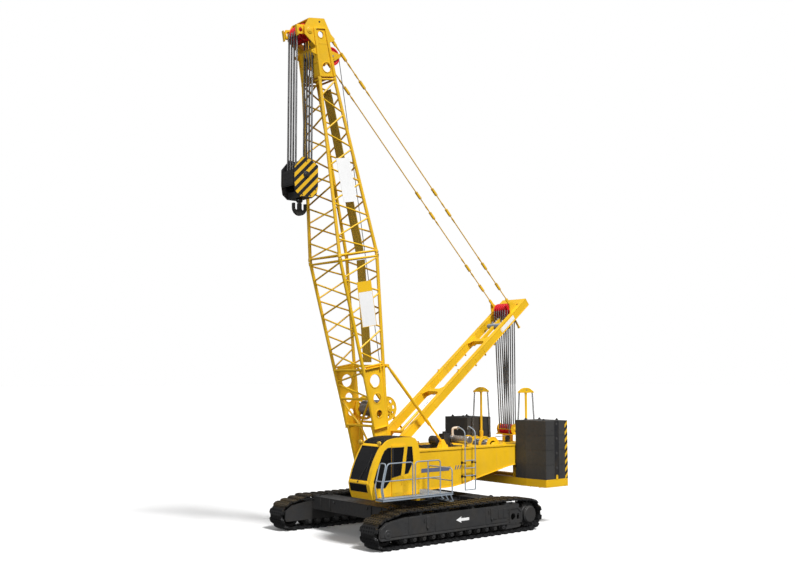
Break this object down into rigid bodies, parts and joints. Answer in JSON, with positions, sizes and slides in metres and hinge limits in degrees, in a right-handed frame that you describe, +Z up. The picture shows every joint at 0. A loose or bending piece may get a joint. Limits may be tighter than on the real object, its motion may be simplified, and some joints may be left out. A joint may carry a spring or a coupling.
{
  "type": "crawler crane",
  "caption": "Lattice-boom crawler crane with tracked undercarriage, slewing upper works, operator's cab, luffing mast, pendants, stacked counterweights and hook block.",
  "frame": {"origin": "centre of the crane's bounding box at ground level", "axes": "+X is the crane's front, +Y its left, +Z up; it stands on its tracks with the boom raised"},
  "size_m": [12.267, 6.89, 19.6125],
  "materials": {
    "black_paint": "satin black paint",
    "track_steel": "dull black cast track shoes",
    "yellow_paint": "semi-gloss machinery yellow",
    "counterweight_grey": "matt dark grey paint on cast slabs",
    "red_paint": "semi-gloss red paint",
    "rail_grey": "satin blue-grey paint",
    "steel": "bright steel",
    "catwalk_mesh": "dull open walkway mesh",
    "white_plate": "blank white plate",
    "tinted_glass": "dark tinted glass",
    "seat_trim": "matt dark trim"
  },
  "bodies": {
    "undercarriage": {"carbody": "black_paint", "slew_ring": "black_paint", "track_left": "track_steel", "track_right": "track_steel", "track_frame_left": "black_paint", "track_frame_right": "black_paint", "bottom_rollers_left": "black_paint", "bottom_rollers_right": "black_paint", "idler_left": "black_paint", "idler_right": "black_paint", "travel_drive_left": "black_paint", "travel_drive_right": "black_paint"},
    "upper": {"engine": "black_paint", "air_cleaner": "black_paint", "revolving_frame": "yellow_paint", "side_housing_left": "yellow_paint", "side_housing_right": "yellow_paint", "lifting_post_left": "yellow_paint", "lifting_post_right": "yellow_paint", "counterweight_tray": "yellow_paint", "boom_hoist_winch": "yellow_paint", "cab_body": "yellow_paint", "cab_roof": "yellow_paint", "counterweight_left": "counterweight_grey", "counterweight_right": "counterweight_grey", "luffing_lower_sheaves": "red_paint", "walkway": "rail_grey", "ladder": "rail_grey", "silencer": "steel", "roof_pane": "tinted_glass", "windscreen": "tinted_glass", "lower_windscreen": "tinted_glass", "cab_rear_glass": "tinted_glass", "cab_glass_left_front": "tinted_glass", "cab_glass_left_rear": "tinted_glass", "cab_glass_right": "tinted_glass", "operator_seat": "seat_trim"},
    "cab_door": {"cab_door": "yellow_paint", "cab_door_glass": "tinted_glass"},
    "boom": {"boom_base_section": "yellow_paint", "boom_top_section": "yellow_paint", "boom_head": "yellow_paint", "head_sheaves": "red_paint", "guide_sheave": "red_paint", "hoist_drum": "yellow_paint", "catwalk_base": "catwalk_mesh", "catwalk_top": "catwalk_mesh", "sign_plate": "white_plate", "notice_plate": "white_plate", "backstop_left": "yellow_paint", "backstop_right": "yellow_paint"},
    "mast": {"mast_frame": "yellow_paint", "mast_sheaves": "red_paint"},
    "pendants": {"pendant_left": "yellow_paint", "pendant_right": "yellow_paint"},
    "hook_block": {"hook_block": "black_paint", "hoist_falls": "steel"},
    "hook": {"hook": "black_paint"}
  },
  "joints": [
    {"name": "slew", "type": "hinge", "parent": "undercarriage", "child": "upper", "pos_m": [0.52666, 0, 1.555], "axis": [0, 0, 1], "continuous": true},
    {"name": "boom_luff", "type": "hinge", "parent": "upper", "child": "boom", "pos_m": [1.93366, 0, 1.848], "axis": [0, 1, 0], "range_deg": [0, 50]},
    {"name": "mast_luff", "type": "hinge", "parent": "upper", "child": "mast", "pos_m": [1.47666, 0, 3.24], "axis": [0, 1, 0], "range_deg": [0, 58]},
    {"name": "pendant_swing", "type": "hinge", "parent": "boom", "child": "pendants", "pos_m": [4.50521, 0, 18.91257], "axis": [0, 1, 0], "range_deg": [-0.5, 0.5]},
    {"name": "hook_block_swing", "type": "hinge", "parent": "boom", "child": "hook_block", "pos_m": [5.56856, 0, 19.00519], "axis": [0, 1, 0], "range_deg": [-50, 0]},
    {"name": "hook_swivel", "type": "hinge", "parent": "hook_block", "child": "hook", "pos_m": [5.56856, 0, 12.4], "axis": [0, 0, 1], "continuous": true},
    {"name": "cab_door_slide", "type": "slide", "parent": "upper", "child": "cab_door", "axis": [-1, 0, 0], "range_m": [0, 0.6]}
  ],
  "couplings": [
    {"joint": "mast_luff", "follows": "boom_luff", "ratio": 1.16},
    {"joint": "pendant_swing", "follows": "boom_luff", "ratio": 0.0016},
    {"joint": "hook_block_swing", "follows": "boom_luff", "ratio": -1}
  ]
}
